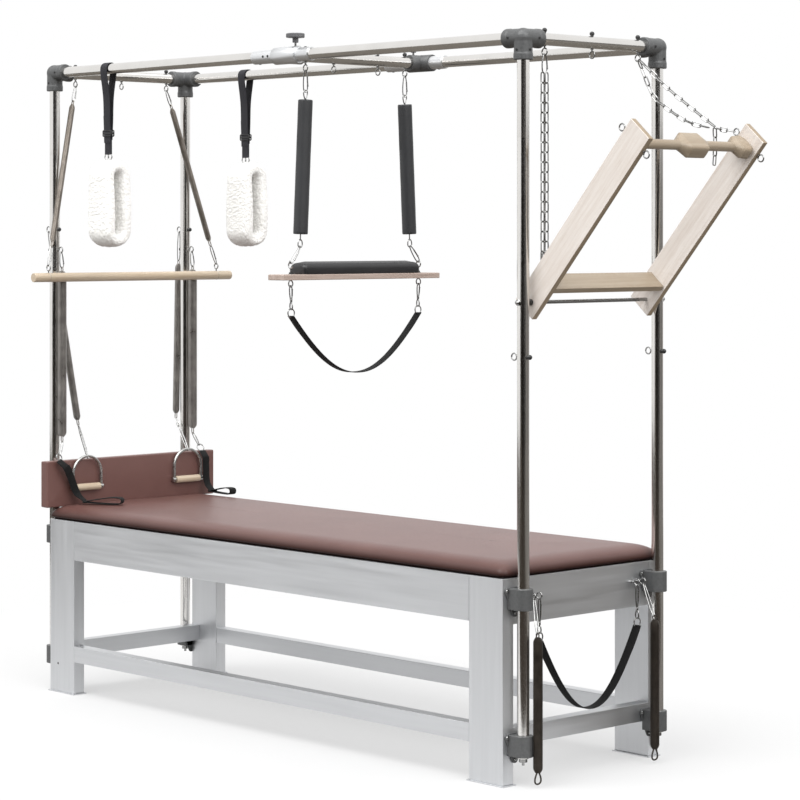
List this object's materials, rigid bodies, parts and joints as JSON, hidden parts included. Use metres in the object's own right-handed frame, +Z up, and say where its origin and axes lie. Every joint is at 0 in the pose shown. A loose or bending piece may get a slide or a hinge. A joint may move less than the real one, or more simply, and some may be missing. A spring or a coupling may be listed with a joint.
{
  "type": "pilates trapeze table",
  "caption": "Padded bench under a four-post tube frame with a sliding crossbar and trapeze, a push-through bar, a roll-down bar, springs, straps, fleece loops and chains",
  "frame": {"origin": "on the floor under the middle of the whole object", "axes": "+X along the bench toward the push-through end, +Y across it away from the viewer, +Z up"},
  "size_m": [2.9042, 0.915, 2.321],
  "materials": {
    "satin_aluminium": "satin anodised",
    "steel_tube": "polished stainless tube",
    "cast_fitting": "machined fitting with black caps",
    "upholstery": "grained vinyl",
    "pad_base": "black-stained plywood",
    "black_foam": "foam",
    "black_vinyl": "fine-grained vinyl",
    "knob_plastic": "moulded plastic over a steel screw",
    "board_wood": "stained and clear-coated",
    "pale_wood": "clear-coated maple",
    "dark_spring": "oiled spring wire",
    "bright_wire": "plated wire",
    "webbing": "woven webbing",
    "grey_webbing": "woven webbing",
    "sheepskin": "long pile"
  },
  "bodies": {
    "base": {"end_frame_right": "satin_aluminium", "end_frame_left": "satin_aluminium", "side_apron_front": "satin_aluminium", "side_apron_back": "satin_aluminium", "side_stretcher_front": "satin_aluminium", "side_stretcher_back": "satin_aluminium", "pad_board": "pad_base", "bench_pad": "upholstery", "headboard": "upholstery", "post_front_right": "steel_tube", "post_front_left": "steel_tube", "post_back_right": "steel_tube", "post_back_left": "steel_tube", "corner_front_right": "cast_fitting", "corner_front_left": "cast_fitting", "corner_back_right": "cast_fitting", "corner_back_left": "cast_fitting", "long_rail_front": "steel_tube", "long_rail_back": "steel_tube", "end_rail_right": "steel_tube", "end_rail_left": "steel_tube", "push_axle": "bright_wire", "chain_front": "bright_wire", "chain_rear": "bright_wire", "leg_spring_front": "dark_spring", "leg_spring_back": "dark_spring"},
    "crossbar": {"tee_sleeve_front": "cast_fitting", "tee_sleeve_back": "cast_fitting", "cross_tube": "steel_tube"},
    "knob_front": {"knob_front": "knob_plastic"},
    "knob_back": {"knob_back": "knob_plastic"},
    "trapeze_hang": {"trapeze_spring_front": "bright_wire", "trapeze_spring_back": "bright_wire", "trapeze_foam_front": "black_foam", "trapeze_foam_back": "black_foam"},
    "trapeze_bar": {"trapeze_board": "board_wood", "trapeze_pad": "black_vinyl"},
    "trapeze_sling": {"trapeze_sling": "webbing"},
    "safety_sling": {"safety_sling": "webbing"},
    "roll_down": {"roll_down_bar": "pale_wood", "roll_down_spring_front": "dark_spring", "roll_down_spring_back": "dark_spring"},
    "foot_strap_front": {"foot_strap_front": "webbing"},
    "foot_strap_back": {"foot_strap_back": "webbing"},
    "arm_spring_front": {"arm_spring_front": "bright_wire"},
    "arm_spring_back": {"arm_spring_back": "bright_wire"},
    "handle_front": {"handle_frame_front": "bright_wire"},
    "handle_back": {"handle_frame_back": "bright_wire"},
    "grip_front": {"handle_grip_front": "pale_wood"},
    "grip_back": {"handle_grip_back": "pale_wood"},
    "push_through": {"push_arm_front": "pale_wood", "push_arm_back": "pale_wood", "push_brace": "pale_wood", "push_handle": "pale_wood"},
    "fleece_front": {"fleece_loop_front": "sheepskin", "loop_strap_front": "grey_webbing"},
    "fleece_back": {"fleece_loop_back": "sheepskin", "loop_strap_back": "grey_webbing"},
    "low_spring_front": {"low_spring_front": "dark_spring"},
    "low_spring_back": {"low_spring_back": "dark_spring"}
  },
  "joints": [
    {"name": "crossbar_slide", "type": "slide", "parent": "base", "child": "crossbar", "axis": [1, 0, 0], "range_m": [-0.75, 0.87]},
    {"name": "knob_front_turn", "type": "hinge", "parent": "crossbar", "child": "knob_front", "pos_m": [-0.05772, -0.305, 2.3], "axis": [0, 0, 1], "continuous": true},
    {"name": "knob_back_turn", "type": "hinge", "parent": "crossbar", "child": "knob_back", "pos_m": [-0.13572, 0.305, 2.3], "axis": [0, 0, 1], "continuous": true},
    {"name": "trapeze_swing", "type": "hinge", "parent": "crossbar", "child": "trapeze_hang", "pos_m": [-0.09672, 0, 2.2055], "axis": [0, 1, 0], "range_deg": [-30, 30]},
    {"name": "trapeze_board_tilt", "type": "hinge", "parent": "trapeze_hang", "child": "trapeze_bar", "pos_m": [-0.09672, 0, 1.5643], "axis": [0, 1, 0], "range_deg": [-30, 30]},
    {"name": "trapeze_sling_swing", "type": "hinge", "parent": "trapeze_bar", "child": "trapeze_sling", "pos_m": [-0.09672, 0, 1.4895], "axis": [0, 1, 0], "range_deg": [-35, 35]},
    {"name": "roll_down_swing", "type": "hinge", "parent": "base", "child": "roll_down", "pos_m": [-1.3989, 0, 2.2054], "axis": [0, 1, 0], "range_deg": [-18, 0]},
    {"name": "foot_strap_front_swing", "type": "hinge", "parent": "base", "child": "foot_strap_front", "pos_m": [-1.3285, -0.3348, 0.8553], "axis": [0, 1, 0], "range_deg": [-28, 0]},
    {"name": "foot_strap_back_swing", "type": "hinge", "parent": "base", "child": "foot_strap_back", "pos_m": [-1.3292, 0.3158, 0.8564], "axis": [0, 1, 0], "range_deg": [-28, 0]},
    {"name": "arm_spring_front_swing", "type": "hinge", "parent": "base", "child": "arm_spring_front", "pos_m": [-1.4372, -0.3055, 1.6705], "axis": [1, 0, 0], "range_deg": [0, 18]},
    {"name": "arm_spring_back_swing", "type": "hinge", "parent": "base", "child": "arm_spring_back", "pos_m": [-1.4376, 0.3051, 1.6705], "axis": [1, 0, 0], "range_deg": [-18, 0]},
    {"name": "handle_front_sway", "type": "hinge", "parent": "arm_spring_front", "child": "handle_front", "pos_m": [-1.3131, -0.222, 0.847], "axis": [1, 0, 0], "range_deg": [-15, 15]},
    {"name": "handle_back_sway", "type": "hinge", "parent": "arm_spring_back", "child": "handle_back", "pos_m": [-1.3131, 0.246, 0.847], "axis": [1, 0, 0], "range_deg": [-15, 2]},
    {"name": "grip_front_spin", "type": "hinge", "parent": "handle_front", "child": "grip_front", "pos_m": [-1.3131, -0.222, 0.735], "axis": [0, 1, 0], "continuous": true},
    {"name": "grip_back_spin", "type": "hinge", "parent": "handle_back", "child": "grip_back", "pos_m": [-1.3131, 0.246, 0.735], "axis": [0, 1, 0], "continuous": true},
    {"name": "push_through_swing", "type": "hinge", "parent": "base", "child": "push_through", "pos_m": [0.98228, 0, 1.455], "axis": [0, 1, 0], "range_deg": [-200, 0], "deforming": ["chain_rear", "chain_front"]},
    {"name": "fleece_front_swing", "type": "hinge", "parent": "base", "child": "fleece_front", "pos_m": [-1.07472, -0.305, 2.25], "axis": [1, 0, 0], "range_deg": [-35, 35]},
    {"name": "fleece_back_swing", "type": "hinge", "parent": "base", "child": "fleece_back", "pos_m": [-1.04072, 0.305, 2.25], "axis": [1, 0, 0], "range_deg": [-35, 35]},
    {"name": "low_spring_front_swing", "type": "hinge", "parent": "base", "child": "low_spring_front", "pos_m": [0.9729, -0.249, 0.56], "axis": [0, 1, 0], "range_deg": [-35, 0]},
    {"name": "low_spring_back_swing", "type": "hinge", "parent": "base", "child": "low_spring_back", "pos_m": [0.9729, 0.25, 0.5601], "axis": [0, 1, 0], "range_deg": [-35, 0]},
    {"name": "safety_sling_swing", "type": "hinge", "parent": "base", "child": "safety_sling", "pos_m": [0.9703, 0, 0.5595], "axis": [0, 1, 0], "range_deg": [-12, 13]}
  ]
}
